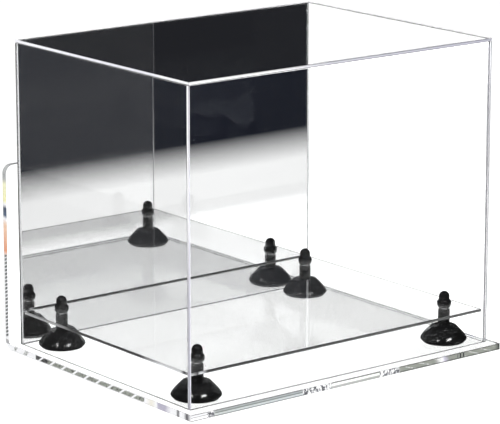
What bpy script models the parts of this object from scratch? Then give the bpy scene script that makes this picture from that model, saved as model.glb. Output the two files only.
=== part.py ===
"""Clear acrylic display case for a full-size football helmet, with a mirror back and a wall bracket.

A five-sided cover stands loose on a clear base. The base is one thick sheet, bent up behind the cover
into a plate that can be screwed to a wall. Inside the cover a clear platform stands on four black
risers, each a bell-shaped foot on a rubber pad with a threaded stud and a screw-on acorn cap.

Metres, +Z up. The origin is the centre of the object's bounding box, on the underside of the base.
+X runs along the wide front and +Y points at the wall.
"""

import math

import bmesh
import bpy
from mathutils import Matrix, Vector

GAP = 0.0003  # air kept between two pieces that touch

# Cover: outer sizes and the thickness of its sheets
COVER_WIDTH = 0.380
COVER_DEPTH = 0.288
COVER_HEIGHT = 0.316
COVER_SHEET = 0.003
PANEL_CHAMFER = 0.0003

# Base and wall plate, one bent sheet
BASE_SHEET = 0.00635
SIDE_MARGIN = 0.008
FRONT_MARGIN = 0.012
REAR_GAP = 0.009
BEND_RADIUS = 0.0105
BEND_STEPS = 8
WALL_PLATE_HEIGHT = 0.193
WALL_PLATE_CORNER = 0.009
CORNER_STEPS = 6
SCREW_HOLE_RADIUS = 0.004
SCREW_HOLE_SPACING = 0.2032
SCREW_HOLE_HEIGHT = 0.168

# Platform and risers, with heights measured from the top of the base
PLATFORM_THICKNESS = 0.003
PLATFORM_UNDERSIDE = 0.0325
PLATFORM_CLEARANCE = 0.0015
STUD_HOLE_RADIUS = 0.0036
RISER_INSET = 0.0315
PAD_RADIUS = 0.0213
PAD_THICKNESS = 0.0014
FOOT_WIDEST_RADIUS = 0.0238
FOOT_WIDEST_HEIGHT = 0.0042
FOOT_LIP_RADIUS = 0.0216
SHOULDER_RADIUS = 0.0125
SHOULDER_HEIGHT = 0.0176
POST_RADIUS = 0.0061
PAD_RECESS_DEPTH = 0.0006
STUD_RADIUS = 0.0029
STUD_FIT = 0.0001
STUD_IN_FOOT = 0.012
STUD_ABOVE_PLATFORM = 0.0105
CAP_HEIGHT = 0.0175
CAP_COLLAR_RADIUS = 0.0073
CAP_SEAT_RADIUS = 0.0066
CAP_COLLAR_LOW = 0.0022
CAP_COLLAR_HIGH = 0.0055
CAP_COLLAR_TOP = 0.0084
CAP_DOME_RADIUS = 0.0056
CAP_BORE_DEPTH = 0.0115
DOME_STEPS = 5
FOOT_SEGMENTS = 40
CAP_SEGMENTS = 28
STUD_SEGMENTS = 20
HOLE_SEGMENTS = 32

# Heights and places worked out from the sizes above
BASE_WIDTH = COVER_WIDTH + 2 * SIDE_MARGIN
TOTAL_DEPTH = FRONT_MARGIN + COVER_DEPTH + REAR_GAP + BASE_SHEET
BASE_FRONT = -TOTAL_DEPTH / 2
BASE_BACK = TOTAL_DEPTH / 2
BASE_TOP = BASE_SHEET
COVER_CENTRE_Y = BASE_FRONT + FRONT_MARGIN + COVER_DEPTH / 2
COVER_FRONT = COVER_CENTRE_Y - COVER_DEPTH / 2
COVER_BACK = COVER_CENTRE_Y + COVER_DEPTH / 2
COVER_BOTTOM = BASE_TOP + GAP
COVER_TOP = COVER_BOTTOM + COVER_HEIGHT
RISER_X = COVER_WIDTH / 2 - RISER_INSET
RISER_Y = COVER_DEPTH / 2 - RISER_INSET

RISER_PLACES = {
    "front_left": (-RISER_X, COVER_CENTRE_Y - RISER_Y),
    "front_right": (RISER_X, COVER_CENTRE_Y - RISER_Y),
    "rear_left": (-RISER_X, COVER_CENTRE_Y + RISER_Y),
    "rear_right": (RISER_X, COVER_CENTRE_Y + RISER_Y),
}

CLEAR_ACRYLIC = ((0.93, 0.96, 0.97), 0.05, 0.0)
MIRROR_SILVER = ((0.80, 0.82, 0.83), 0.03, 1.0)
GLOSS_BLACK = ((0.012, 0.012, 0.013), 0.18, 0.0)
SOFT_BLACK = ((0.025, 0.025, 0.025), 0.75, 0.0)
BLACK_STEEL = ((0.06, 0.06, 0.065), 0.35, 1.0)


def clear_scene():
    for found in list(bpy.data.objects):
        bpy.data.objects.remove(found)


def new_collection(name):
    made = bpy.data.collections.new(name)
    bpy.context.scene.collection.children.link(made)
    return made


def give_material(part, look):
    """Gives the part a Principled material of its own, from its colour, roughness and metallic value."""
    colour, roughness, metallic = look
    material = bpy.data.materials.new(part.name)
    material.use_nodes = True
    shader = material.node_tree.nodes["Principled BSDF"]
    shader.inputs["Base Color"].default_value = (*colour, 1.0)
    shader.inputs["Roughness"].default_value = roughness
    shader.inputs["Metallic"].default_value = metallic
    material.diffuse_color = (*colour, 1.0)
    part.data.materials.append(material)


def new_part(name, mesh, collection, look, location=(0.0, 0.0, 0.0), parent=None):
    """Links a mesh as one named part. The parent, if any, is an empty that only moves the part."""
    part = bpy.data.objects.new(name, mesh)
    part.location = location
    if parent is not None:
        part.parent = parent
        part.location = Vector(location) - parent.location
    collection.objects.link(part)
    give_material(part, look)
    return part


def new_empty(name, collection, location):
    made = bpy.data.objects.new(name, None)
    made.location = location
    collection.objects.link(made)
    return made


def box_mesh(name, size):
    """A box centred on its own origin."""
    shape = bmesh.new()
    bmesh.ops.create_cube(shape, size=1.0, matrix=Matrix.Diagonal((*size, 1.0)))
    mesh = bpy.data.meshes.new(name)
    shape.to_mesh(mesh)
    shape.free()
    return mesh


def add_cutter(name, mesh, collection, location):
    cutter = bpy.data.objects.new(name, mesh)
    cutter.location = location
    cutter.hide_render = True
    cutter.display_type = "WIRE"
    collection.objects.link(cutter)
    return cutter


def cut(part, cutter, operation="DIFFERENCE"):
    boolean = part.modifiers.new(cutter.name, "BOOLEAN")
    boolean.object = cutter
    boolean.operation = operation
    boolean.solver = "EXACT"


def cylinder_mesh(name, radius, length, axis):
    """A cylinder centred on its own origin, along Y or Z."""
    turned = Matrix.Rotation(math.radians(90), 4, "X") if axis == "Y" else Matrix.Identity(4)
    shape = bmesh.new()
    bmesh.ops.create_cone(
        shape,
        cap_ends=True,
        segments=HOLE_SEGMENTS,
        radius1=radius,
        radius2=radius,
        depth=length,
        matrix=turned,
    )
    mesh = bpy.data.meshes.new(name)
    shape.to_mesh(mesh)
    shape.free()
    return mesh


def turned_part(name, profile, segments, collection, look, location, parent):
    """A turned solid. The profile is a list of (radius, height) from the axis at the top, down the
    outer side and back to the axis at the bottom. Both of its ends lie on the axis."""
    shape = bmesh.new()
    points = [shape.verts.new((radius, 0.0, height)) for radius, height in profile]
    for upper, lower in zip(points, points[1:]):
        shape.edges.new((upper, lower))
    mesh = bpy.data.meshes.new(name)
    shape.to_mesh(mesh)
    shape.free()
    part = new_part(name, mesh, collection, look, location, parent)
    screw = part.modifiers.new("turn", "SCREW")
    screw.angle = math.radians(360)
    screw.steps = segments
    screw.render_steps = segments
    screw.use_merge_vertices = True
    screw.merge_threshold = 0.00001
    screw.use_smooth_shade = True
    return part


def arc(centre, radius, start, end, steps):
    """Points on an arc round centre, from the start angle to the end angle in degrees."""
    angles = [math.radians(start + (end - start) * step / steps) for step in range(steps + 1)]
    return [(centre[0] + radius * math.cos(a), centre[1] + radius * math.sin(a)) for a in angles]


def make_base(collection, cutters):
    """The base and the wall plate: one flat strip, bent once, thickened inwards from its outer side."""
    bend_centre = (BASE_BACK - BEND_RADIUS, BEND_RADIUS)
    outer_side = [(BASE_FRONT, 0.0)]
    outer_side += arc(bend_centre, BEND_RADIUS, -90, 0, BEND_STEPS)
    outer_side += [(BASE_BACK, WALL_PLATE_HEIGHT)]

    shape = bmesh.new()
    points = [shape.verts.new((-BASE_WIDTH / 2, y, z)) for y, z in outer_side]
    edges = [shape.edges.new(pair) for pair in zip(points, points[1:])]
    swept = bmesh.ops.extrude_edge_only(shape, edges=edges)["geom"]
    moved = [found for found in swept if isinstance(found, bmesh.types.BMVert)]
    bmesh.ops.translate(shape, verts=moved, vec=(BASE_WIDTH, 0.0, 0.0))
    bmesh.ops.recalc_face_normals(shape, faces=shape.faces[:])
    floor_face = min(shape.faces, key=lambda face: face.calc_center_median().z)
    if floor_face.normal.z > 0:
        bmesh.ops.reverse_faces(shape, faces=shape.faces[:])
    mesh = bpy.data.meshes.new("base")
    shape.to_mesh(mesh)
    shape.free()

    base = new_part("base", mesh, collection, CLEAR_ACRYLIC)
    thicken = base.modifiers.new("sheet", "SOLIDIFY")
    thicken.thickness = BASE_SHEET
    thicken.offset = -1.0
    thicken.use_even_offset = True

    cut(base, make_wall_plate_outline(cutters), "INTERSECT")
    for side, x in (("left", -SCREW_HOLE_SPACING / 2), ("right", SCREW_HOLE_SPACING / 2)):
        drill = cylinder_mesh("screw_hole_" + side, SCREW_HOLE_RADIUS, 4 * BASE_SHEET, "Y")
        place = (x, BASE_BACK - BASE_SHEET / 2, SCREW_HOLE_HEIGHT)
        cut(base, add_cutter("screw_hole_" + side, drill, cutters, place))
    return base


def make_wall_plate_outline(cutters):
    """The outline of the whole sheet seen from the front, with the wall plate's two rounded corners."""
    low, spare = -0.02, 0.02
    half = BASE_WIDTH / 2 + spare
    inner = BASE_WIDTH / 2 - WALL_PLATE_CORNER
    corner_height = WALL_PLATE_HEIGHT - WALL_PLATE_CORNER
    outline = [(-half, low), (half, low), (half, corner_height / 2)]
    outline += [(BASE_WIDTH / 2 + GAP, corner_height / 2)]
    outline += arc((inner, corner_height), WALL_PLATE_CORNER, 0, 90, CORNER_STEPS)
    outline += arc((-inner, corner_height), WALL_PLATE_CORNER, 90, 180, CORNER_STEPS)
    outline += [(-BASE_WIDTH / 2 - GAP, corner_height / 2), (-half, corner_height / 2)]

    shape = bmesh.new()
    face = shape.faces.new([shape.verts.new((x, -TOTAL_DEPTH, z)) for x, z in outline])
    pushed = bmesh.ops.extrude_face_region(shape, geom=[face])["geom"]
    moved = [found for found in pushed if isinstance(found, bmesh.types.BMVert)]
    bmesh.ops.translate(shape, verts=moved, vec=(0.0, 2 * TOTAL_DEPTH, 0.0))
    bmesh.ops.recalc_face_normals(shape, faces=shape.faces[:])
    mesh = bpy.data.meshes.new("wall_plate_outline")
    shape.to_mesh(mesh)
    shape.free()
    return add_cutter("wall_plate_outline", mesh, cutters, (0.0, 0.0, 0.0))


def make_panel(name, low, high, collection, look, parent):
    """One flat sheet of the cover, between two opposite corners, with lightly broken edges."""
    size = [top - bottom for bottom, top in zip(low, high)]
    centre = [(bottom + top) / 2 for bottom, top in zip(low, high)]
    panel = new_part(name, box_mesh(name, size), collection, look, centre, parent)
    chamfer = panel.modifiers.new("chamfer", "BEVEL")
    chamfer.width = PANEL_CHAMFER
    chamfer.segments = 1
    return panel


def make_cover(collection):
    """Front, sides, mirror and top. The front covers the sides' edges, the mirror stands between
    the sides, and the top lies on all four."""
    lift = new_empty("cover_lift", collection, (0.0, COVER_CENTRE_Y, COVER_BOTTOM))
    half = COVER_WIDTH / 2
    wall_top = COVER_TOP - COVER_SHEET - GAP
    side_front = COVER_FRONT + COVER_SHEET + GAP
    mirror_half = half - COVER_SHEET - GAP
    sheets = (
        ("cover_front", (-half, COVER_FRONT, COVER_BOTTOM), (half, COVER_FRONT + COVER_SHEET, wall_top)),
        ("cover_left", (-half, side_front, COVER_BOTTOM), (-half + COVER_SHEET, COVER_BACK, wall_top)),
        ("cover_right", (half - COVER_SHEET, side_front, COVER_BOTTOM), (half, COVER_BACK, wall_top)),
        ("cover_top", (-half, COVER_FRONT, COVER_TOP - COVER_SHEET), (half, COVER_BACK, COVER_TOP)),
    )
    for name, low, high in sheets:
        make_panel(name, low, high, collection, CLEAR_ACRYLIC, lift)
    mirror_low = (-mirror_half, COVER_BACK - COVER_SHEET, COVER_BOTTOM)
    mirror_high = (mirror_half, COVER_BACK, wall_top)
    make_panel("mirror_back", mirror_low, mirror_high, collection, MIRROR_SILVER, lift)


def make_platform(collection, cutters, parent):
    """The clear platform, a little smaller than the inside of the cover, with a hole at each riser."""
    size = (
        COVER_WIDTH - 2 * (COVER_SHEET + PLATFORM_CLEARANCE),
        COVER_DEPTH - 2 * (COVER_SHEET + PLATFORM_CLEARANCE),
        PLATFORM_THICKNESS,
    )
    middle = BASE_TOP + PLATFORM_UNDERSIDE + PLATFORM_THICKNESS / 2
    centre = (0.0, COVER_CENTRE_Y, middle)
    platform = new_part("platform", box_mesh("platform", size), collection, CLEAR_ACRYLIC, centre, parent)
    for place, (x, y) in RISER_PLACES.items():
        drill = cylinder_mesh("stud_hole_" + place, STUD_HOLE_RADIUS, 4 * PLATFORM_THICKNESS, "Z")
        cut(platform, add_cutter("stud_hole_" + place, drill, cutters, (x, y, middle)))


def foot_profile():
    """Half section of a riser's foot: post, flat shoulder, cone and rounded rim, with a blind hole
    for the stud on top and a shallow recess for the pad underneath."""
    top = PLATFORM_UNDERSIDE - GAP
    bottom = PAD_THICKNESS + 2 * GAP - PAD_RECESS_DEPTH
    hole = STUD_RADIUS + STUD_FIT
    hole_bottom = top - STUD_IN_FOOT - GAP
    return [
        (0.0, hole_bottom),
        (hole, hole_bottom),
        (hole, top),
        (POST_RADIUS - 0.0004, top),
        (POST_RADIUS, top - 0.0004),
        (POST_RADIUS, SHOULDER_HEIGHT + 0.0008),
        (POST_RADIUS + 0.0008, SHOULDER_HEIGHT),
        (SHOULDER_RADIUS - 0.0014, SHOULDER_HEIGHT),
        (SHOULDER_RADIUS, SHOULDER_HEIGHT - 0.0010),
        (FOOT_WIDEST_RADIUS - 0.0008, FOOT_WIDEST_HEIGHT + 0.0012),
        (FOOT_WIDEST_RADIUS, FOOT_WIDEST_HEIGHT),
        (FOOT_WIDEST_RADIUS - 0.0004, FOOT_WIDEST_HEIGHT - 0.0010),
        (FOOT_LIP_RADIUS + GAP, bottom),
        (FOOT_LIP_RADIUS, bottom),
        (PAD_RADIUS + GAP / 2, bottom + PAD_RECESS_DEPTH),
        (0.0, bottom + PAD_RECESS_DEPTH),
    ]


def cap_profile():
    """Half section of an acorn cap: domed top, neck, swollen collar and seat, bored out from below."""
    dome_centre = (0.0, CAP_HEIGHT - CAP_DOME_RADIUS)
    dome = arc(dome_centre, CAP_DOME_RADIUS, 90, 0, DOME_STEPS)
    bore = STUD_RADIUS + STUD_FIT
    return [(0.0, CAP_HEIGHT)] + dome[1:] + [
        (CAP_DOME_RADIUS + 0.0002, CAP_COLLAR_TOP + 0.0006),
        (CAP_COLLAR_RADIUS - 0.0009, CAP_COLLAR_HIGH + 0.0016),
        (CAP_COLLAR_RADIUS, CAP_COLLAR_HIGH),
        (CAP_COLLAR_RADIUS, CAP_COLLAR_LOW),
        (CAP_SEAT_RADIUS, 0.0004),
        (CAP_SEAT_RADIUS - 0.0004, 0.0),
        (bore, 0.0),
        (bore, CAP_BORE_DEPTH),
        (0.0, CAP_BORE_DEPTH),
    ]


def pad_profile():
    """Half section of a flat rubber pad."""
    edge = 0.0003
    return [
        (0.0, PAD_THICKNESS),
        (PAD_RADIUS - edge, PAD_THICKNESS),
        (PAD_RADIUS, PAD_THICKNESS - edge),
        (PAD_RADIUS, edge),
        (PAD_RADIUS - edge, 0.0),
        (0.0, 0.0),
    ]


def stud_profile():
    """Half section of a plain stud with chamfered ends, its height counted from its lower end."""
    length = STUD_IN_FOOT + PLATFORM_THICKNESS + STUD_ABOVE_PLATFORM
    chamfer = 0.0005
    return [
        (0.0, length),
        (STUD_RADIUS - chamfer, length),
        (STUD_RADIUS, length - chamfer),
        (STUD_RADIUS, chamfer),
        (STUD_RADIUS - chamfer, 0.0),
        (0.0, 0.0),
    ]


def make_riser(place, x, y, collection, parent):
    """One riser on its own vertical axis. Each piece's origin is on that axis."""
    platform_top = BASE_TOP + PLATFORM_UNDERSIDE + PLATFORM_THICKNESS
    stud_foot = BASE_TOP + PLATFORM_UNDERSIDE - STUD_IN_FOOT
    pieces = (
        ("riser_foot_", foot_profile(), FOOT_SEGMENTS, GLOSS_BLACK, BASE_TOP),
        ("riser_pad_", pad_profile(), FOOT_SEGMENTS, SOFT_BLACK, BASE_TOP + GAP),
        ("riser_stud_", stud_profile(), STUD_SEGMENTS, BLACK_STEEL, stud_foot),
        ("riser_cap_", cap_profile(), CAP_SEGMENTS, GLOSS_BLACK, platform_top + GAP),
    )
    for name, profile, segments, look, height in pieces:
        turned_part(name + place, profile, segments, collection, look, (x, y, height), parent)


def main():
    clear_scene()
    parts = new_collection("football_display_case")
    cutters = new_collection("cutters")
    make_base(parts, cutters)
    make_cover(parts)
    stand = new_empty("stand_lift", parts, (0.0, COVER_CENTRE_Y, BASE_TOP))
    make_platform(parts, cutters, stand)
    for place, (x, y) in RISER_PLACES.items():
        make_riser(place, x, y, parts, stand)


main()
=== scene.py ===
import math

import bmesh
import bpy
from mathutils import Matrix, Vector


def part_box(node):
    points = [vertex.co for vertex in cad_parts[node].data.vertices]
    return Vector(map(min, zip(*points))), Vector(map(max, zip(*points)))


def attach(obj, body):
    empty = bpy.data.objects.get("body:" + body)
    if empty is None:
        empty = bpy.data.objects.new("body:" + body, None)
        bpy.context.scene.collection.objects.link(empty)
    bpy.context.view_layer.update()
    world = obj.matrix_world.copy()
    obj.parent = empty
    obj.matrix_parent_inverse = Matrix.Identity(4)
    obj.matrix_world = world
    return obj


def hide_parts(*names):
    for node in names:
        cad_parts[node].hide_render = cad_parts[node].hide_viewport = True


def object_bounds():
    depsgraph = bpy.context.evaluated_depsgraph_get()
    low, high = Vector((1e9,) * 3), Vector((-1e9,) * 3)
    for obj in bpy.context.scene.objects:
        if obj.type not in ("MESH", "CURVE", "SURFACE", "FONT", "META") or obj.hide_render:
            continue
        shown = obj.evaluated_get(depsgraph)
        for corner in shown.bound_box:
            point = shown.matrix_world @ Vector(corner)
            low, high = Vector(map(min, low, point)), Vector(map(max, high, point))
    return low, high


# The visual model of a clear acrylic display case with a mirror back, a bent base that doubles as a
# wall plate, and a platform on four black risers. Metres, in the frame of the CAD model: +X along the
# wide front, +Y towards the wall, +Z up, with the origin on the underside of the base.

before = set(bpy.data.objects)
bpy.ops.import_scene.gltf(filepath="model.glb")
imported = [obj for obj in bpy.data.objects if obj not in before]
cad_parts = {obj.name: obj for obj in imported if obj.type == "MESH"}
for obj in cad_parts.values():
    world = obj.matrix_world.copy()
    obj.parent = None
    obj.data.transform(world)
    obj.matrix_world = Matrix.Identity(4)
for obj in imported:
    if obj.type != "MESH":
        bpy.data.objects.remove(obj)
CAD_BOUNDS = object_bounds()


def grey(level):
    return (level, level, level)


PLACES = ("front_left", "front_right", "rear_left", "rear_right")

# Sheets
POLISHED_EDGE = 0.00045  # rounding of a flame-polished edge
EDGE_STEPS = 3
SMOOTH_ANGLE = math.radians(32)
BEND_RADIUS = 0.0105
BEND_STEPS = 20
PLATE_CORNER = 0.009
PLATE_START = 0.0105  # where the bend ends and the wall plate's straight part starts
CORNER_STEPS = 10
SCREW_HOLE_RADIUS = 0.004
SCREW_HOLE_SPACING = 0.2032
SCREW_HOLE_HEIGHT = 0.168
STUD_HOLE_RADIUS = 0.0036
HOLE_STEPS = 48
CUTTER_SPARE = 0.01  # how far a cutter reaches past the sheet
BASE_THICKNESS = 0.00635
MIRROR_ROUNDING = 0.0003
PLATFORM_ROUNDING = 0.00025
SILVER_THICKNESS = 0.00012
PAINT_THICKNESS = 0.00010
LAYER_GAP = 0.00001

# Risers, with radii from the axis, a foot's heights from the base and a cap's from its own underside
RISER_STEPS = 96
POST_RADIUS = 0.0061
SHOULDER_RADIUS = 0.0125
SHOULDER_HEIGHT = 0.0176
BELLY = ((0.0190, 0.0108), (0.0212, 0.0085), (0.0232, 0.0052))  # start, control and end of a curve
RIM = ((0.0232, 0.0052), (0.0245, 0.0030), (0.0225, 0.0020))
PLATFORM_RISE = 0.0325  # from the base's upper face to the underside of the platform
LIP_HEIGHT = 0.0014
PAD_RECESS = 0.0006
PAD_ROUNDING = 0.0004
LIP_RADIUS = 0.0216
BORE_RADIUS = 0.0030
STUD_IN_FOOT = 0.0123
THREAD_PITCH = 0.001
THREAD_DEPTH = 0.00045
THREAD_ROWS = 6
THREAD_STEPS = 32
COLLAR_RADIUS = 0.0073
COLLAR_LOW = 0.0032
COLLAR_HIGH = 0.0068
COLLAR_TOP = 0.0083
SEAT_RADIUS = 0.0060
DOME_RADIUS = 0.0056
CAP_BORE_DEPTH = 0.0115
CURVE_STEPS = 5

# Faces told apart by the part of their normal along an axis, and by how near they lie to a bound
SQUARE = 0.95
TILTED = 0.3
CORNERWISE = 0.2
TOUCHING = 0.0002
EDGE_REACH = 0.0003

# Optics, and the colours painted into the opaque sheet edges as painted reflections and painted shade
ACRYLIC_INDEX = 1.49
WHITE = (1.0, 1.0, 1.0)
PALE = (0.93, 0.93, 0.95)
LAVENDER = (0.50, 0.48, 0.58)
EDGE_GREEN = (0.27, 0.285, 0.255)
CREAM = (0.86, 0.83, 0.74)
DARK = (0.03, 0.03, 0.035)
EVEN = [(0.0, [(0.0, WHITE), (1.0, WHITE)])]  # zones of an edge with no shading across it
# Painted shade across a wall plate edge: grey at both arrises, white between
PLATE_RIM = [(0.0, grey(0.75)), (0.12, WHITE), (0.85, WHITE), (1.0, grey(0.6))]
# Painted shadow: the cover sheets' lower edges are painted near black, a painted shadow line where they stand
# on the base
FOOT_SHADOW_TONES = [(0.0, grey(0.03)), (0.5, grey(0.05)), (1.0, grey(0.03))]
COVER_FOOT = 0.0066  # height of the cover's lower edge
COVER_SPAN = (2, CAD_BOUNDS[0][2] + COVER_FOOT, CAD_BOUNDS[1][2])  # axis, foot and top of the cover

# Studio
CAMERA_PLACE = (-1.7334, -2.2005, 0.8158)
CAMERA_YAW = math.radians(38.173)
CAMERA_PITCH = math.radians(13.482)
CAMERA_LENS = 204.6
LIGHT_TARGET = (0.0, 0.0, 0.05)
FLOOR_RADIUS = 12.0
FLOOR_DROP = 0.0004
FLOOR_LEVELS_FROM = -0.6
FLOOR_LEVELS_TO = 2.4
LEVEL_SCALE = 4.0
MIRROR_CROSSINGS = 5.5  # a ray crosses more faces than this on its way in to the mirror and out again


def levels(*rows):
    """Ramp stops for how bright the floor's painted glow is at places in depth, each row being (y,
    brightness).
    """
    span = FLOOR_LEVELS_TO - FLOOR_LEVELS_FROM
    return [((y - FLOOR_LEVELS_FROM) / span, grey(level / LEVEL_SCALE)) for y, level in rows]


# Painted light: how brightly the floor glows by depth when seen through a sheet, and as a painted reflection
# in the mirror, darker behind the case
SEEN_LEVELS = levels(
    (-0.16, 1.6), (0.0, 2.3), (0.35, 2.3), (0.55, 1.35), (0.90, 1.35), (1.20, 3.2), (1.5, 3.4)
)
MIRRORED_LEVELS = levels((-0.24, 1.15), (-0.19, 2.0), (0.15, 2.0), (0.30, 0.45))


def link(name, mesh):
    made = bpy.data.objects.new(name, mesh)
    bpy.context.scene.collection.objects.link(made)
    return made


def mesh_from(name, shape):
    """Turns a bmesh into a mesh with its faces turned outwards."""
    bmesh.ops.recalc_face_normals(shape, faces=shape.faces[:])
    mesh = bpy.data.meshes.new(name)
    shape.to_mesh(mesh)
    shape.free()
    return mesh


def arc(centre, radius, start, end, steps):
    """Points on an arc round centre, from the start angle to the end angle in degrees."""
    angles = [math.radians(start + (end - start) * step / steps) for step in range(steps + 1)]
    return [(centre[0] + radius * math.cos(a), centre[1] + radius * math.sin(a)) for a in angles]


def prism(name, outline, axis, low, high):
    """A solid with one flat outline, swept along an axis. The outline holds the other two coordinates."""
    shape = bmesh.new()
    rings = []
    for along in (low, high):
        ring = []
        for point in outline:
            place = list(point)
            place.insert(axis, along)
            ring.append(shape.verts.new(place))
        rings.append(ring)
        shape.faces.new(ring)
    first, second = rings
    count = len(outline)
    for index in range(count):
        following = (index + 1) % count
        shape.faces.new((first[index], first[following], second[following], second[index]))
    return link(name, mesh_from(name, shape))


def slab(name, low, high):
    outline = [(low[0], low[1]), (high[0], low[1]), (high[0], high[1]), (low[0], high[1])]
    return prism(name, outline, 2, low[2], high[2])


def rod(name, centre, radius, axis, low, high):
    """A round cutter along an axis."""
    return prism(name, arc(centre, radius, 0, 360 - 360 / HOLE_STEPS, HOLE_STEPS - 1), axis, low, high)


def freeze(piece):
    """Applies the modifiers."""
    graph = bpy.context.evaluated_depsgraph_get()
    mesh = bpy.data.meshes.new_from_object(piece.evaluated_get(graph))
    piece.modifiers.clear()
    piece.data = mesh


def smooth(piece):
    """Smooths everything but the sharp edges. The flat faces keep their own normals, so they stay flat."""
    piece.data.shade_smooth()
    piece.data.set_sharp_from_angle(angle=SMOOTH_ANGLE)
    weighted = piece.modifiers.new("normals", "WEIGHTED_NORMAL")
    weighted.mode = "FACE_AREA"
    weighted.weight = 100
    weighted.keep_sharp = True
    freeze(piece)


def cut(piece, cutters):
    for cutter in cutters:
        boolean = piece.modifiers.new(cutter.name, "BOOLEAN")
        boolean.operation = "DIFFERENCE"
        boolean.solver = "EXACT"
        boolean.object = cutter
    freeze(piece)
    for cutter in cutters:
        bpy.data.objects.remove(cutter)


def divide(piece, height):
    """Cuts the faces in two along a level line, so that each side of it can have its own painted edge
    colours.
    """
    shape = bmesh.new()
    shape.from_mesh(piece.data)
    everything = shape.verts[:] + shape.edges[:] + shape.faces[:]
    bmesh.ops.bisect_plane(shape, geom=everything, plane_co=(0.0, 0.0, height), plane_no=(0.0, 0.0, 1.0))
    shape.to_mesh(piece.data)
    shape.free()


def polish(piece, radius=POLISHED_EDGE, division=None):
    """Rounds the edges of a sheet as flame polishing does."""
    rounding = piece.modifiers.new("polish", "BEVEL")
    rounding.width = radius
    rounding.segments = EDGE_STEPS
    rounding.limit_method = "ANGLE"
    rounding.angle_limit = math.radians(40)
    freeze(piece)
    if division is not None:
        divide(piece, division)
    smooth(piece)


def paint(piece, materials, choose):
    """Gives each face one of the materials: choose(centre, normal) returns its number."""
    piece.data.materials.clear()
    for material in materials:
        piece.data.materials.append(material)
    for face in piece.data.polygons:
        face.material_index = choose(face.center, face.normal)


def turned(name, profile, centre, height):
    """A turned solid. The profile lists (radius, height) from the axis round to the axis."""
    shape = bmesh.new()
    rings = []
    for radius, level in profile:
        if radius == 0.0:
            rings.append([shape.verts.new((centre[0], centre[1], height + level))] * RISER_STEPS)
            continue
        ring = []
        for step in range(RISER_STEPS):
            angle = 2 * math.pi * step / RISER_STEPS
            x = centre[0] + radius * math.cos(angle)
            y = centre[1] + radius * math.sin(angle)
            ring.append(shape.verts.new((x, y, height + level)))
        rings.append(ring)
    for upper, lower in zip(rings, rings[1:]):
        for step in range(RISER_STEPS):
            following = (step + 1) % RISER_STEPS
            corners = [upper[step], upper[following], lower[following], lower[step]]
            shape.faces.new(list(dict.fromkeys(corners)))
    mesh = mesh_from(name, shape)
    mesh.shade_smooth()
    mesh.set_sharp_from_angle(angle=SMOOTH_ANGLE)
    return link(name, mesh)


class Graph:
    """Short calls for adding nodes to one node tree."""

    def __init__(self, tree):
        self.tree = tree

    def add(self, kind, *values, **settings):
        """A node, with its first inputs fed in order."""
        node = self.tree.nodes.new(kind)
        for key, value in settings.items():
            setattr(node, key, value)
        for socket, value in zip(node.inputs, values):
            self.feed(socket, value)
        return node

    def feed(self, socket, value):
        if isinstance(value, bpy.types.NodeSocket):
            self.tree.links.new(value, socket)
        elif value is not None and socket.type == "RGBA" and len(value) == 3:
            socket.default_value = (*value, 1.0)
        elif value is not None:
            socket.default_value = value

    def math(self, operation, *values):
        return self.add("ShaderNodeMath", *values, operation=operation).outputs[0]

    def between(self, value, low, high, start=0.0, end=1.0):
        """value from low to high becomes start to end, and stays there outside that range."""
        return self.add("ShaderNodeMapRange", value, low, high, start, end).outputs[0]

    def ramp(self, value, stops):
        """Colours at places from 0 to 1. Each stop is (place, colour)."""
        node = self.add("ShaderNodeValToRGB", value)
        elements = node.color_ramp.elements
        while len(elements) < len(stops):
            elements.new(1.0)
        for element, (place, colour) in zip(elements, stops):
            element.position = place
            element.color = (*colour, 1.0)
        return node.outputs["Color"]

    def noise(self, place, scale, detail=3.0):
        node = self.add("ShaderNodeTexNoise")
        self.feed(node.inputs["Vector"], place)
        self.feed(node.inputs["Scale"], scale)
        self.feed(node.inputs["Detail"], detail)
        return node.outputs[0]

    def stretch(self, place, scale):
        return self.add("ShaderNodeVectorMath", place, scale, operation="MULTIPLY").outputs[0]

    def blend(self, factor, first, second, mode="MIX"):
        node = self.add("ShaderNodeMix", data_type="RGBA", blend_type=mode)
        self.feed(node.inputs["Factor"], factor)
        self.feed(node.inputs[6], first)
        self.feed(node.inputs[7], second)
        return node.outputs[2]

    def coordinates(self):
        """The object's own coordinates: the vector, then x, y and z."""
        vector = self.add("ShaderNodeTexCoord").outputs["Object"]
        parts = self.add("ShaderNodeSeparateXYZ", vector)
        return vector, parts.outputs[0], parts.outputs[1], parts.outputs[2]

    def bump(self, height, strength, distance):
        node = self.add("ShaderNodeBump")
        self.feed(node.inputs["Strength"], strength)
        self.feed(node.inputs["Distance"], distance)
        self.feed(node.inputs["Height"], height)
        return node.outputs[0]


def new_material(name, **uniform):
    """A material, its graph and its Principled shader, with uniform values set on the shader."""
    material = bpy.data.materials.new(name)
    material.use_nodes = True
    graph = Graph(material.node_tree)
    shader = material.node_tree.nodes["Principled BSDF"]
    for key, value in uniform.items():
        shader.inputs[key.replace("_", " ")].default_value = value
    return material, graph, shader


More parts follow.
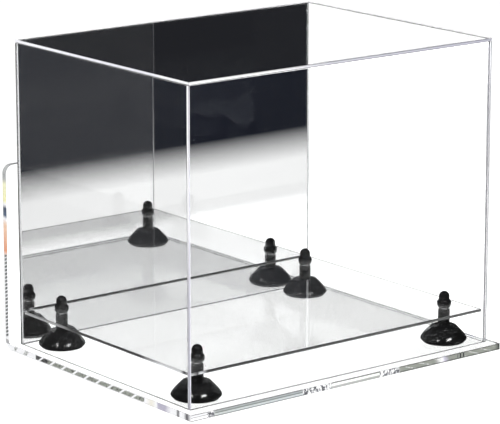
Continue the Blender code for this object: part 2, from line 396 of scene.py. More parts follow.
def clear_acrylic(name, tint):
    """Clear sheet with a faint drift in its tint. Shadow rays pass through, so the sheets cast soft, pale
    shadows as thin acrylic does."""
    material, graph, shader = new_material(name, Roughness=0.0, IOR=ACRYLIC_INDEX, Transmission_Weight=1.0)
    vector = graph.coordinates()[0]
    drift = graph.noise(vector, 9.0)
    clean = tuple(min(1.0, channel * 1.004) for channel in tint)
    colour = graph.ramp(drift, [(0.3, tint), (0.7, clean)])
    graph.feed(shader.inputs["Base Color"], colour)
    passing = graph.add("ShaderNodeBsdfTransparent", (0.97, 0.975, 0.975)).outputs[0]
    shadow = graph.add("ShaderNodeLightPath").outputs["Is Shadow Ray"]
    mixed = graph.add("ShaderNodeMixShader", shadow, shader.outputs[0], passing).outputs[0]
    graph.feed(material.node_tree.nodes["Material Output"].inputs["Surface"], mixed)
    return material


def product(graph, factors):
    """The product of several values."""
    total = factors[0]
    for factor in factors[1:]:
        total = graph.math("MULTIPLY", total, factor)
    return total


def window(graph, value, low, high, softness):
    """1 between low and high and 0 outside, with soft ends."""
    rise = graph.between(value, low - softness, low + softness)
    fall = graph.between(value, high - softness, high + softness, 1.0, 0.0)
    return graph.math("MULTIPLY", rise, fall)


def add_dashes(graph, colour, place, depth, fleck, row):
    """Lays one row of slanting marks over the colour of an edge."""
    period, slant, share, low, high, mark = row
    lean = graph.math("MULTIPLY", depth, slant)
    phase = graph.math("FRACT", graph.math("DIVIDE", graph.math("ADD", place, lean), period))
    inside = window(graph, depth, 0.16, 0.84, 0.05)
    stretch = window(graph, place, low, high, 0.0004)
    rise = graph.between(phase, 0.0, 0.06)
    fall = graph.between(phase, share, share + 0.08, 1.0, 0.0)
    dark = tuple(channel * 0.35 for channel in mark)
    pale = tuple(min(1.0, channel * 1.5) for channel in mark)
    marks = graph.ramp(fleck, [(0.36, dark), (0.47, mark), (0.66, pale)])
    return graph.blend(product(graph, [inside, stretch, rise, fall]), colour, marks)


def add_painted_reflection_spots(graph, colour, place, vector, low, high):
    """Paints broken black and white reflections over a stretch of an edge."""
    spots = graph.noise(graph.stretch(vector, (1.0, 1.0, 0.6)), 650.0, 2.0)
    stops = [(0.40, (0.10, 0.10, 0.11)), (0.50, (0.42, 0.43, 0.45)), (0.58, grey(0.95))]
    return graph.blend(window(graph, place, low, high, 0.001), colour, graph.ramp(spots, stops))


def painted_edge_reflections(name, along, across, tones, zones, dashes=(), mottle=()):
    """Cut and polished edge of a sheet, painted opaque in the colours its inner reflections would show:
    painted reflections, painted highlights and painted shade.

    along and across are each (axis, low, high). tones paints the edge along its length. Each zone is (start,
    profile), and from there on the profile paints shade and highlight across its thickness. Each dash row is
    (period, slant, share, low, high, colour): slanting marks that fill a share of each period. Each mottled
    stretch is (low, high), with painted broken black and white reflections."""
    material, graph, shader = new_material(name, Roughness=0.16)
    vector, *axes = graph.coordinates()
    place = axes[along[0]]
    wander = graph.math("MULTIPLY", graph.math("SUBTRACT", graph.noise(vector, 70.0), 0.5), 0.02)
    run = graph.math("ADD", graph.between(place, along[1], along[2]), wander)
    depth = graph.between(axes[across[0]], across[1], across[2])
    colour = graph.ramp(run, tones)
    shade = None
    for start, profile in zones:
        tone = graph.ramp(depth, profile)
        shade = tone if shade is None else graph.blend(graph.between(run, start, start + 0.008), shade, tone)
    colour = graph.blend(1.0, colour, shade, "MULTIPLY")
    fleck = graph.noise(vector, 420.0)
    for row in dashes:
        colour = add_dashes(graph, colour, place, depth, fleck, row)
    for low, high in mottle:
        colour = add_painted_reflection_spots(graph, colour, place, vector, low, high)
    scratches = graph.noise(graph.stretch(vector, (30.0, 30.0, 260.0)), 8.0, 2.0)
    streaks = graph.ramp(scratches, [(0.38, grey(0.88)), (0.62, WHITE)])
    colour = graph.blend(1.0, colour, streaks, "MULTIPLY")
    graph.feed(shader.inputs["Base Color"], colour)
    return material


def silver_finish():
    material, graph, shader = new_material("silver_film", Metallic=1.0, Roughness=0.0)
    vector = graph.coordinates()[0]
    cloud = graph.noise(vector, 5.0)
    graph.feed(shader.inputs["Base Color"], graph.ramp(cloud, [(0.3, grey(0.90)), (0.7, grey(0.93))]))
    return material


def paint_finish():
    """Sprayed grey backing paint, with the fine mottle of overspray."""
    material, graph, shader = new_material("backing_paint", Roughness=0.55)
    vector = graph.coordinates()[0]
    mottle = graph.noise(vector, 900.0, 4.0)
    cloud = graph.noise(vector, 12.0, 2.0)
    colour = graph.ramp(mottle, [(0.35, (0.135, 0.14, 0.15)), (0.65, (0.185, 0.19, 0.20))])
    tone = graph.ramp(cloud, [(0.3, grey(0.88)), (0.7, grey(1.0))])
    graph.feed(shader.inputs["Base Color"], graph.blend(1.0, colour, tone, "MULTIPLY"))
    graph.feed(shader.inputs["Normal"], graph.bump(mottle, 0.25, 0.0001))
    return material


def gloss_black():
    """Moulded black plastic: deep black, with a faint flow pattern in its surface."""
    material, graph, shader = new_material("riser_black", Roughness=0.09)
    vector = graph.coordinates()[0]
    flow = graph.noise(graph.stretch(vector, (1.0, 1.0, 2.5)), 120.0, 4.0)
    colour = graph.ramp(flow, [(0.3, (0.002, 0.002, 0.0023)), (0.7, grey(0.005))])
    graph.feed(shader.inputs["Base Color"], colour)
    graph.feed(shader.inputs["Normal"], graph.bump(flow, 0.05, 0.0002))
    return material


def pad_rubber():
    material, graph, shader = new_material("pad_rubber", Roughness=0.8, Specular_IOR_Level=0.2)
    vector = graph.coordinates()[0]
    grain = graph.noise(vector, 1600.0, 4.0)
    graph.feed(shader.inputs["Base Color"], graph.ramp(grain, [(0.3, grey(0.008)), (0.7, grey(0.022))]))
    graph.feed(shader.inputs["Normal"], graph.bump(grain, 0.4, 0.0001))
    return material


def stud_steel():
    """Blackened steel, with brighter metal where the thread has rubbed."""
    material, graph, shader = new_material("stud_steel", Metallic=1.0, Roughness=0.34)
    vector = graph.coordinates()[0]
    rub = graph.noise(graph.stretch(vector, (1.0, 1.0, 6.0)), 500.0, 4.0)
    colour = graph.ramp(rub, [(0.35, grey(0.05)), (0.6, grey(0.10)), (0.8, grey(0.28))])
    graph.feed(shader.inputs["Base Color"], colour)
    return material


def facing(normal, axis, sign):
    return normal[axis] * sign > SQUARE


def base_end_reflections(along, across):
    """The base's left and right ends, painted with the reflections their inside shows: dark slanting dashes,
    and colours towards the front, with painted shade at the arrises.
    """
    tones = [
        (0.00, PALE),
        (0.020, (0.05, 0.05, 0.06)),
        (0.035, PALE),
        (0.055, PALE),
        (0.065, DARK),
        (0.075, PALE),
        (0.10, PALE),
        (0.13, LAVENDER),
        (0.165, LAVENDER),
        (0.175, PALE),
        (0.20, CREAM),
        (0.23, PALE),
        (1.00, PALE),
    ]
    rim = [(0.0, grey(0.45)), (0.06, grey(0.9)), (0.12, WHITE), (0.92, WHITE), (0.97, grey(0.7))]
    rim += [(1.0, grey(0.5))]
    dashes = [
        (0.0200, 0.010, 0.80, -0.083, 0.103, EDGE_GREEN),
        (0.0200, 0.010, 0.80, 0.082, 0.103, grey(0.10)),
        (0.0200, 0.006, 0.30, 0.108, 0.142, (0.45, 0.46, 0.45)),
    ]
    return painted_edge_reflections("base_end", along, across, tones, [(0.0, rim)], dashes)


def base_front_reflections(along, across):
    """The base's front edge, painted with the reflections and shade its inside shows: two grey bands among
    dark lines at the left, a grey band under a pale, overbright painted highlight in the middle, and one
    broad grey band at the right, with broken painted reflections in three stretches."""
    tones = [
        (0.00, PALE),
        (0.045, PALE),
        (0.06, (0.42, 0.45, 0.44)),
        (0.33, (0.42, 0.45, 0.46)),
        (0.44, (0.45, 0.46, 0.45)),
        (0.64, (0.36, 0.38, 0.35)),
        (0.67, EDGE_GREEN),
        (0.78, EDGE_GREEN),
        (0.80, PALE),
        (0.812, LAVENDER),
        (0.825, EDGE_GREEN),
        (0.985, EDGE_GREEN),
        (1.00, DARK),
    ]
    twin = [(0.0, grey(0.3)), (0.10, grey(0.35)), (0.16, grey(1.3)), (0.42, grey(1.35)), (0.48, grey(0.4))]
    twin += [(0.57, grey(0.45)), (0.63, grey(0.85)), (0.84, grey(0.85)), (0.90, grey(0.35)), (1.0, grey(0.3))]
    split = [(0.0, grey(0.5)), (0.08, WHITE), (0.36, WHITE), (0.44, grey(2.2)), (0.76, grey(2.2))]
    split += [(0.84, grey(0.4)), (1.0, grey(0.5))]
    full = [(0.0, grey(0.2)), (0.12, grey(0.25)), (0.20, WHITE), (0.80, WHITE), (0.88, grey(0.5))]
    full += [(1.0, grey(0.35))]
    zones = [(0.0, twin), (0.42, split), (0.64, full)]
    dashes = [
        (0.021, 0.022, 0.12, 0.070, 0.118, (0.62, 0.63, 0.62)),
        (0.0042, 0.0, 0.45, 0.140, 0.149, (0.04, 0.04, 0.045)),
        (0.017, 0.020, 0.10, 0.150, 0.190, (0.60, 0.61, 0.60)),
    ]
    mottle = [(-0.178, -0.170), (-0.062, -0.026), (0.036, 0.062)]
    return painted_edge_reflections("base_front", along, across, tones, zones, dashes, mottle)


def plate_end_reflections(along, across):
    """The wall plate's left and right ends: orange, blue and yellow stretches above a row of dashes, all
    painted reflections of light piped along the sheet.
    """
    tones = [
        (0.00, PALE),
        (0.50, PALE),
        (0.54, (0.80, 0.36, 0.22)),
        (0.68, (0.86, 0.62, 0.46)),
        (0.71, PALE),
        (0.73, (0.12, 0.16, 0.24)),
        (0.77, (0.10, 0.12, 0.16)),
        (0.79, PALE),
        (0.81, (0.90, 0.88, 0.50)),
        (0.90, (0.88, 0.88, 0.62)),
        (0.93, (0.45, 0.46, 0.46)),
        (1.00, (0.30, 0.31, 0.31)),
    ]
    dashes = [(0.0038, 0.003, 0.68, 0.013, 0.100, (0.17, 0.18, 0.18))]
    return painted_edge_reflections("plate_end", along, across, tones, [(0.0, PLATE_RIM)], dashes)


def plate_top_reflections(along, across):
    """The wall plate's top edge and rounded corners, painted grey as reflections, with painted shade at its
    arrises.
    """
    tones = [(0.0, (0.45, 0.46, 0.46)), (0.5, (0.6, 0.61, 0.6)), (1.0, (0.45, 0.46, 0.46))]
    return painted_edge_reflections("plate_top", along, across, tones, [(0.0, PLATE_RIM)])


def base_outline(low, high):
    """The bent sheet seen from its end, as (y, z): along the underside, up the back and down inside."""
    bend = (high.y - BEND_RADIUS, BEND_RADIUS)
    outline = [(low.y, low.z)]
    outline += arc(bend, BEND_RADIUS, -90, 0, BEND_STEPS)
    outline += [(high.y, high.z), (high.y - BASE_THICKNESS, high.z)]
    outline += arc(bend, BEND_RADIUS - BASE_THICKNESS, 0, -90, BEND_STEPS)
    outline += [(low.y, BASE_THICKNESS)]
    return outline


def plate_cutters(high):
    """What is cut from the wall plate: its two upper corners and two screw holes."""
    reach = (high.y - 2 * BASE_THICKNESS, high.y + CUTTER_SPARE)
    cutters = []
    for side in (-1, 1):
        corner = (side * (high.x - PLATE_CORNER), high.z - PLATE_CORNER)
        outer = side * (high.x + CUTTER_SPARE)
        outline = arc(corner, PLATE_CORNER, 90 - 90 * side, 90, CORNER_STEPS)
        outline += [(corner[0], high.z + CUTTER_SPARE), (outer, high.z + CUTTER_SPARE), (outer, corner[1])]
        cutters.append(prism("corner", outline, 1, *reach))
        hole = (side * SCREW_HOLE_SPACING / 2, SCREW_HOLE_HEIGHT)
        cutters.append(rod("screw_hole", hole, SCREW_HOLE_RADIUS, 1, *reach))
    return cutters


def make_base(clear):
    """The base and wall plate: one sheet with a round bend, two rounded corners and two screw holes."""
    low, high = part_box("base")
    base = prism("base_sheet", base_outline(low, high), 0, low.x, high.x)
    cut(base, plate_cutters(high))
    polish(base, division=PLATE_START)

    wide = (0, low.x, high.x)
    thickness = (2, 0.0, BASE_THICKNESS)
    plate = (1, high.y - BASE_THICKNESS, high.y)
    ends = base_end_reflections((1, low.y, high.y), thickness)
    front = base_front_reflections(wide, thickness)
    upright = plate_end_reflections((2, 0.0, high.z), plate)
    top = plate_top_reflections(wide, plate)

    def choose(centre, normal):
        on_corner = centre.z > high.z - PLATE_CORNER and abs(centre.x) > high.x - PLATE_CORNER
        if on_corner and abs(normal.y) < TILTED:
            return 4
        if facing(normal, 1, -1) and centre.y < low.y + TOUCHING:
            return 2
        if facing(normal, 2, 1) and centre.z > high.z - TOUCHING:
            return 4
        if abs(normal.x) > SQUARE and abs(centre.x) > high.x - TOUCHING:
            return 3 if centre.z > PLATE_START else 1
        return 0

    paint(base, [clear, ends, front, upright, top], choose)
    return base


def paint_front_sheet_edges(piece, low, high, clear):
    """The front sheet's two ends, foot and the rounding at its left, painted as reflections: the foot near
    black as a painted shadow line, the rounding lavender fading into near-black painted shade.
    """
    end_profile = [(0.0, grey(0.7)), (0.15, WHITE), (0.85, WHITE), (1.0, grey(0.6))]
    left_tones = [(0.0, (0.45, 0.445, 0.49)), (0.35, (0.50, 0.495, 0.55)), (0.6, PALE), (1.0, PALE)]
    right_tones = [(0.0, (0.52, 0.52, 0.54)), (0.6, (0.50, 0.50, 0.53)), (1.0, (0.56, 0.56, 0.62))]
    arris_tones = [(0.0, LAVENDER), (0.7, LAVENDER), (0.82, (0.16, 0.16, 0.18)), (1.0, (0.10, 0.10, 0.12))]
    thin = (1, low.y, high.y)
    left_end = painted_edge_reflections("front_sheet_left", COVER_SPAN, thin, left_tones, [(0.0, end_profile)])
    right_end = painted_edge_reflections("front_sheet_right", COVER_SPAN, thin, right_tones, EVEN)
    foot = painted_edge_reflections("front_sheet_foot", (0, low.x, high.x), thin, FOOT_SHADOW_TONES, EVEN)
    arris = painted_edge_reflections("front_sheet_arris", COVER_SPAN, thin, arris_tones, EVEN)

    def choose(centre, normal):
        if normal.z < -TILTED:
            return 2
        if normal.x > TILTED:
            return 4
        if normal.x < -SQUARE:
            return 1
        return 3 if normal.x < -CORNERWISE and normal.y < -CORNERWISE else 0

    paint(piece, [clear, left_end, foot, arris, right_end], choose)


def paint_side_sheet_edges(part, piece, low, high, clear, front_tones, rear_tones):
    """A side sheet's front, rear and foot edges, painted with reflections, the foot near black as a painted
    shadow line.
    """
    across = (0, low.x, high.x)
    front = painted_edge_reflections(part + "_sheet_front", COVER_SPAN, across, front_tones, EVEN)
    rear = painted_edge_reflections(part + "_sheet_rear", COVER_SPAN, across, rear_tones, EVEN)
    foot = painted_edge_reflections(part + "_sheet_foot", (1, low.y, high.y), across, FOOT_SHADOW_TONES, EVEN)

    def choose(centre, normal):
        if normal.z < -TILTED:
            return 3
        if facing(normal, 1, -1):
            return 1
        return 2 if normal.y > TILTED else 0

    paint(piece, [clear, front, rear, foot], choose)


def paint_top_sheet_edges(piece, low, high, clear):
    """The top sheet's front, back and side edges, painted with reflections, with painted shade along the
    upper part of the front edge.
    """
    depth = (2, low.z, high.z)
    front_tones = [(0.0, PALE), (0.25, (0.80, 0.79, 0.80)), (0.45, (0.52, 0.52, 0.57))]
    front_tones += [(1.0, (0.40, 0.40, 0.46))]
    front_profile = [(0.0, grey(0.8)), (0.12, WHITE), (0.55, WHITE), (0.68, grey(0.62)), (1.0, grey(0.55))]
    side_tones = [(0.0, PALE), (0.14, PALE), (0.20, (0.80, 0.80, 0.86)), (1.0, (0.90, 0.90, 0.95))]
    side_profile = [(0.0, grey(0.55)), (0.2, WHITE), (0.8, WHITE), (1.0, grey(0.7))]
    front = painted_edge_reflections("top_sheet_front", (0, low.x, high.x), depth, front_tones, [(0.0, front_profile)])
    side = painted_edge_reflections("top_sheet_side", (1, low.y, high.y), depth, side_tones, [(0.0, side_profile)])

    def choose(centre, normal):
        if abs(normal.y) > SQUARE:
            return 1
        return 2 if abs(normal.x) > SQUARE else 0

    paint(piece, [clear, front, side], choose)


def make_cover(clear):
    """The four clear sheets of the cover, each with its own polished edges."""
    sheets = {}
    for part in ("front", "left", "right", "top"):
        low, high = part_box("cover_" + part)
        piece = slab(part + "_sheet", low, high)
        polish(piece)
        sheets[part] = (piece, low, high)
    # Painted reflections in the side sheets' front and rear edges: light, middle grey, and dark as painted
    # shade
    light = [(0.0, (0.80, 0.79, 0.85)), (1.0, (0.80, 0.79, 0.85))]
    middle = [(0.0, (0.34, 0.34, 0.36)), (0.6, (0.30, 0.30, 0.32)), (1.0, (0.27, 0.27, 0.30))]
    dark = [(0.0, grey(0.05)), (0.5, grey(0.10)), (1.0, grey(0.16))]
    paint_front_sheet_edges(*sheets["front"], clear)
    paint_side_sheet_edges("left", *sheets["left"], clear, light, dark)
    paint_side_sheet_edges("right", *sheets["right"], clear, middle, light)
    paint_top_sheet_edges(*sheets["top"], clear)
    return {part: piece for part, (piece, low, high) in sheets.items()}


def make_mirror(clear, silver, backing):
    """The mirror sheet: clear acrylic, with the silver film and the paint that protects it behind."""
    low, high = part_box("mirror_back")
    film_front = high.y - PAINT_THICKNESS - SILVER_THICKNESS
    paint_front = high.y - PAINT_THICKNESS
    face = slab("mirror_sheet", low, (high.x, film_front - LAYER_GAP, high.z))
    polish(face, MIRROR_ROUNDING)
    # Painted reflections: the mirror sheet's ends are painted pale, with a grey band of painted shade towards
    # the silver
    end_tones = [(0.0, (0.82, 0.82, 0.84)), (0.6, PALE), (1.0, PALE)]
    end_profile = [(0.0, WHITE), (0.6, WHITE), (0.7, grey(0.55)), (1.0, grey(0.8))]
    height = (2, low.z, high.z)
    end = painted_edge_reflections("mirror_end", height, (1, low.y, film_front), end_tones, [(0.0, end_profile)])
    paint(face, [clear, end], lambda centre, normal: 1 if abs(normal.x) > SQUARE else 0)
    film = slab("mirror_silver", (low.x, film_front, low.z), (high.x, paint_front - LAYER_GAP, high.z))
    film.data.materials.append(silver)
    back = slab("mirror_paint", (low.x, paint_front, low.z), high)
    back.data.materials.append(backing)
    return [face, film, back]


def platform_front_reflections(along, across, zones):
    """The platform's front and rear edges, painted with reflections: dark, with broken painted light at the
    left end.
    """
    tones = [
        (0.0, grey(0.7)),
        (0.02, DARK),
        (0.03, PALE),
        (0.05, grey(0.07)),
        (0.35, grey(0.09)),
        (0.75, grey(0.13)),
        (1.0, grey(0.16)),
    ]
    return painted_edge_reflections("platform_front", along, across, tones, zones)


def platform_side_reflections(along, across, zones):
    """The platform's left edge, painted with reflections: pale near the front, dark in the middle and grey at
    the rear.
    """
    tones = [
        (0.0, PALE),
        (0.03, DARK),
        (0.05, PALE),
        (0.16, PALE),
        (0.28, grey(0.10)),
        (0.70, grey(0.12)),
        (0.78, grey(0.45)),
        (1.0, grey(0.62)),
    ]
    return painted_edge_reflections("platform_side", along, across, tones, zones)


def make_platform(clear):
    """The platform: a flat sheet with a hole for each riser's stud."""
    low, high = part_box("platform")
    piece = slab("platform_sheet", low, high)
    reach = (low.z - CUTTER_SPARE, high.z + CUTTER_SPARE)
    cut(piece, [rod("stud_hole", axis_of(place), STUD_HOLE_RADIUS, 2, *reach) for place in PLACES])
    polish(piece, PLATFORM_ROUNDING)

    depth = (2, low.z, high.z)
    long_side = (1, low.y, high.y)
    # Painted shade across the platform's edges: grey lines at both arrises, white between
    lined = [(0.0, [(0.0, grey(0.6)), (0.35, WHITE), (0.5, WHITE), (0.62, grey(0.45)), (1.0, grey(0.7))])]
    front_edge = platform_front_reflections((0, low.x, high.x), depth, lined)
    side_edge = platform_side_reflections(long_side, depth, lined)
    # Painted reflection: the far end, seen from inside the sheet, is painted grey
    far_tones = [(0.0, grey(0.16)), (0.5, grey(0.20)), (1.0, grey(0.16))]
    far_edge = painted_edge_reflections("platform_far", long_side, depth, far_tones, EVEN)

    def choose(centre, normal):
        if abs(normal.y) > SQUARE and abs(centre.y - low.y) < TOUCHING or abs(centre.y - high.y) < TOUCHING:
            return 1
        if abs(centre.x) < high.x - EDGE_REACH or abs(normal.x) < TILTED:
            return 0
        return 3 if normal.x > 0.0 else 2

    paint(piece, [clear, front_edge, side_edge, far_edge], choose)
    return piece


def axis_of(place):
    """Where a riser's axis stands, from the box of its foot."""
    low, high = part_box("riser_foot_" + place)
    return (low.x + high.x) / 2, (low.y + high.y) / 2


def curve(start, control, end, steps):
    """Points along a quadratic curve, with both ends."""
    made = []
    for step in range(steps + 1):
        share = step / steps
        point = start * (1 - share) ** 2 + control * 2 * share * (1 - share) + end * share ** 2
        made.append((point.x, point.y))
    return made


def rounded(profile, radius):
    """The profile with each inner corner replaced by a small curve of about that radius."""
    made = [profile[0]]
    for before, corner, after in zip(profile, profile[1:], profile[2:]):
        here = Vector(corner)
        back = Vector(before) - here
        ahead = Vector(after) - here
        reach = min(radius, back.length * 0.45, ahead.length * 0.45)
        made += curve(here + back.normalized() * reach, here, here + ahead.normalized() * reach, CURVE_STEPS)
    made.append(profile[-1])
    return made


def foot_profile(height):
    """Half section of a foot: post, flat shoulder, cone that bellies out into a rolled rim, with a blind
    hole on top and a shallow recess for its pad underneath."""
    hole_bottom = height - STUD_IN_FOOT
    upper = [
        (BORE_RADIUS, height),
        (POST_RADIUS, height),
        (POST_RADIUS, SHOULDER_HEIGHT),
        (SHOULDER_RADIUS, SHOULDER_HEIGHT),
        BELLY[0],
    ]
    section = rounded(upper, 0.0010)[:-1]
    section += curve(*map(Vector, BELLY), 10)[:-1]
    section += curve(*map(Vector, RIM), 12)
    section += [(LIP_RADIUS, LIP_HEIGHT), (LIP_RADIUS - 0.0001, LIP_HEIGHT + PAD_RECESS)]
    return [(0.0, hole_bottom), (BORE_RADIUS, hole_bottom)] + section + [(0.0, LIP_HEIGHT + PAD_RECESS)]


def cap_profile(height):
    """Half section of an acorn cap: dome, neck, swollen collar and seat, bored out from below."""
    centre = (0.0, height - DOME_RADIUS)
    dome = arc(centre, DOME_RADIUS, 90, 0, 16)
    outside = [
        dome[-1],
        (DOME_RADIUS, COLLAR_TOP),
        (COLLAR_RADIUS, COLLAR_HIGH),
        (COLLAR_RADIUS, COLLAR_LOW),
        (SEAT_RADIUS, 0.0),
        (BORE_RADIUS, 0.0),
    ]
    section = rounded(outside, 0.0009)
    return [(0.0, height)] + dome[1:] + section[1:] + [(BORE_RADIUS, CAP_BORE_DEPTH), (0.0, CAP_BORE_DEPTH)]


def threaded_rod(name, centre, radius, low, high):
    """A stud with a helical thread. It is a stack of rings whose radius follows the thread's turn."""
    shape = bmesh.new()
    rows = round((high - low) / THREAD_PITCH * THREAD_ROWS)
    rings = []
    for row in range(rows + 1):
        level = low + (high - low) * row / rows
        end = min(level - low, high - level)
        ring = []
        for step in range(THREAD_STEPS):
            turn = step / THREAD_STEPS
            phase = ((level - low) / THREAD_PITCH - turn) % 1.0
            crest = abs(2 * phase - 1)
            here = radius - THREAD_DEPTH * crest
            here = min(here, radius - THREAD_DEPTH * 1.2 + end)
            angle = 2 * math.pi * turn
            place = (centre[0] + here * math.cos(angle), centre[1] + here * math.sin(angle), level)
            ring.append(shape.verts.new(place))
        rings.append(ring)
    shape.faces.new(rings[0])
    shape.faces.new(rings[-1])
    for upper, lower in zip(rings, rings[1:]):
        for step in range(THREAD_STEPS):
            following = (step + 1) % THREAD_STEPS
            shape.faces.new((upper[step], upper[following], lower[following], lower[step]))
    mesh = mesh_from(name, shape)
    mesh.shade_smooth()
    mesh.set_sharp_from_angle(angle=SMOOTH_ANGLE)
    return link(name, mesh)


def make_riser(place, finishes):
    """One riser: foot, pad, stud and cap, each standing for its own CAD node."""
    centre = axis_of(place)
    foot_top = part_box("riser_foot_" + place)[1].z
    base_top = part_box("platform")[0].z - PLATFORM_RISE
    foot = turned("foot_" + place, foot_profile(foot_top - base_top), centre, base_top)
    pad_low, pad_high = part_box("riser_pad_" + place)
    pad_radius = (pad_high.x - pad_low.x) / 2
    pad_height = pad_high.z - pad_low.z
    outside = [(0.0, pad_height), (pad_radius, pad_height), (pad_radius, 0.0), (0.0, 0.0)]
    pad = turned("pad_" + place, rounded(outside, PAD_ROUNDING), centre, pad_low.z)
    stud_low, stud_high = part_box("riser_stud_" + place)
    stud_radius = (stud_high.x - stud_low.x) / 2
    stud = threaded_rod("stud_" + place, centre, stud_radius, stud_low.z, stud_high.z)
    cap_low, cap_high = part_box("riser_cap_" + place)
    cap = turned("cap_" + place, cap_profile(cap_high.z - cap_low.z), centre, cap_low.z)
    black, rubber, steel = finishes
    rows = (
        (foot, "riser_foot_", "stand", "riser_black", black),
        (pad, "riser_pad_", "stand", "pad_rubber", rubber),
        (stud, "riser_stud_", "stud_" + place, "stud_steel", steel),
        (cap, "riser_cap_", "cap_" + place, "riser_black", black),
    )
    for piece, node, body, slot, finish in rows:
        piece.data.materials.append(finish)
        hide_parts(node + place)
        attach(piece, body)


def area_light(name, place, size, power):
    """A soft light aimed at the case."""
    light = bpy.data.lights.new(name, "AREA")
    light.shape = "RECTANGLE"
    light.size, light.size_y = size
    light.energy = power
    made = bpy.data.objects.new(name, light)
    bpy.context.scene.collection.objects.link(made)
    made.location = place
    aim = Vector(LIGHT_TARGET) - Vector(place)
    made.rotation_euler = aim.to_track_quat("-Z", "Y").to_euler()


def ray_facts(graph):
    """What has happened to a ray before it meets the studio: whether it was mirrored at all, whether it is
    only glare off a sheet, and whether it came through a sheet without being scattered."""
    path = graph.add("ShaderNodeLightPath")
    mirrored = graph.math("GREATER_THAN", path.outputs["Glossy Depth"], 0.5)
    shallow = graph.math("LESS_THAN", path.outputs["Transmission Depth"], MIRROR_CROSSINGS)
    glare = graph.math("MULTIPLY", mirrored, shallow)
    entered = graph.math("GREATER_THAN", path.outputs["Transmission Depth"], 0.5)
    clean = graph.math("LESS_THAN", path.outputs["Diffuse Depth"], 0.5)
    through = graph.math("MULTIPLY", entered, clean)
    return mirrored, glare, through


def make_floor():
    """A pale floor that partly glows. Its front part is painted dark for mirrored rays only, a painted
    reflection of an unlit part of a studio. How bright the rest glows is painted by depth and by whether it
    is seen directly, through a sheet, in the mirror or as glare."""
    shape = bmesh.new()
    place = Matrix.Translation((0.0, 0.0, -FLOOR_DROP))
    bmesh.ops.create_circle(shape, cap_ends=True, segments=96, radius=FLOOR_RADIUS, matrix=place)
    floor = link("floor", mesh_from("floor", shape))
    material, graph, shader = new_material("floor", Roughness=1.0, Specular_IOR_Level=0.0)
    position = graph.add("ShaderNodeNewGeometry").outputs["Position"]
    grain = graph.noise(position, 30.0)
    graph.feed(shader.inputs["Base Color"], graph.ramp(grain, [(0.3, grey(0.38)), (0.7, grey(0.40))]))
    glow = graph.add("ShaderNodeEmission", WHITE, 0.68).outputs[0]
    pale = graph.add("ShaderNodeAddShader", shader.outputs[0], glow).outputs[0]
    mirrored, glare, through = ray_facts(graph)
    depth = graph.add("ShaderNodeSeparateXYZ", position).outputs[1]
    painted_mirror_shade = graph.math("MULTIPLY", mirrored, graph.between(depth, -0.40, -0.56))
    dark = graph.add("ShaderNodeEmission", (0.010, 0.012, 0.020), 1.0).outputs[0]
    reach = graph.between(depth, FLOOR_LEVELS_FROM, FLOOR_LEVELS_TO)
    direct = graph.add("ShaderNodeEmission", graph.ramp(reach, SEEN_LEVELS), LEVEL_SCALE).outputs[0]
    echo = graph.add("ShaderNodeEmission", graph.ramp(reach, MIRRORED_LEVELS), LEVEL_SCALE).outputs[0]
    seen = graph.add("ShaderNodeMixShader", mirrored, direct, echo).outputs[0]
    surface = graph.add("ShaderNodeMixShader", through, pale, seen).outputs[0]
    surface = graph.add("ShaderNodeMixShader", painted_mirror_shade, surface, dark).outputs[0]
    # Painted reflection: in glare off the sheets the floor shows nearly black
    faint = graph.add("ShaderNodeEmission", WHITE, graph.between(depth, 0.0, 0.3, 0.02, 0.05)).outputs[0]
    surface = graph.add("ShaderNodeMixShader", glare, surface, faint).outputs[0]
    graph.feed(material.node_tree.nodes["Material Output"].inputs["Surface"], surface)
    floor.data.materials.append(material)


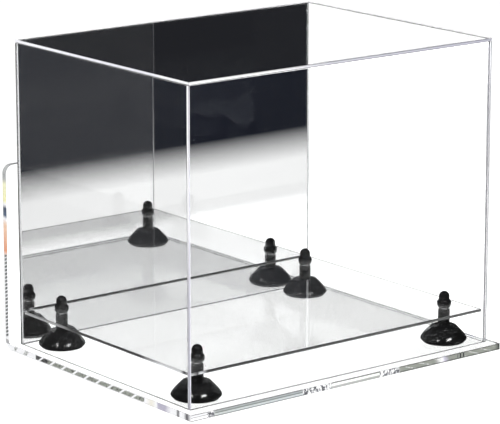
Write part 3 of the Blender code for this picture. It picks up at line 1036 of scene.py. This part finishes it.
def make_world():
    """White light, brighter where it is seen through a sheet. Mirrored rays see a dark grey room, and glare
    off the sheets a nearly black one."""
    world = bpy.data.worlds.new("studio")
    bpy.context.scene.world = world
    world.use_nodes = True
    graph = Graph(world.node_tree)
    mirrored, glare, through = ray_facts(graph)
    plain = graph.add("ShaderNodeBackground", WHITE, 0.6).outputs[0]
    bright = graph.add("ShaderNodeBackground", WHITE, 1.5).outputs[0]
    room = graph.add("ShaderNodeBackground", (0.05, 0.052, 0.058), 1.0).outputs[0]
    faint = graph.add("ShaderNodeBackground", grey(0.02), 1.0).outputs[0]
    surface = graph.add("ShaderNodeMixShader", through, plain, bright).outputs[0]
    surface = graph.add("ShaderNodeMixShader", mirrored, surface, room).outputs[0]
    surface = graph.add("ShaderNodeMixShader", glare, surface, faint).outputs[0]
    graph.feed(world.node_tree.nodes["World Output"].inputs["Surface"], surface)


def make_camera():
    camera = bpy.data.cameras.new("camera")
    camera.lens = CAMERA_LENS
    camera.clip_start = 0.01
    camera.clip_end = 60.0
    made = bpy.data.objects.new("camera", camera)
    bpy.context.scene.collection.objects.link(made)
    made.location = CAMERA_PLACE
    made.rotation_euler = (math.pi / 2 - CAMERA_PITCH, 0.0, -CAMERA_YAW)
    bpy.context.scene.camera = made


def make_studio():
    make_floor()
    make_world()
    make_camera()
    area_light("key", (0.07, -1.95, 2.28), (1.20, 0.32), 62.0)
    area_light("side", (-1.87, -0.54, 2.28), (0.40, 0.32), 32.0)
    area_light("rim", (0.82, 2.82, 0.65), (0.60, 0.60), 8.0)
    scene = bpy.context.scene
    scene.view_settings.view_transform = "Standard"
    scene.cycles.max_bounces = 32
    scene.cycles.transmission_bounces = 32
    scene.cycles.glossy_bounces = 24
    scene.cycles.transparent_max_bounces = 24
    scene.cycles.diffuse_bounces = 4


def place_sheet(piece, body, slot, *nodes):
    if nodes:
        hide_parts(*nodes)
    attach(piece, body)


def main():
    clear = clear_acrylic("clear_acrylic", (0.994, 0.996, 0.996))
    thick = clear_acrylic("base_acrylic", (0.990, 0.996, 0.994))
    place_sheet(make_base(thick), "base", "base_acrylic", "base")
    for part, piece in make_cover(clear).items():
        place_sheet(piece, "cover", "clear_acrylic", "cover_" + part)
    face, film, back = make_mirror(clear, silver_finish(), paint_finish())
    place_sheet(face, "cover", "mirror_acrylic", "mirror_back")
    place_sheet(film, "cover", "mirror_acrylic")
    place_sheet(back, "cover", "mirror_acrylic")
    place_sheet(make_platform(clear), "stand", "clear_acrylic", "platform")
    finishes = (gloss_black(), pad_rubber(), stud_steel())
    for place in PLACES:
        make_riser(place, finishes)
    make_studio()


main()
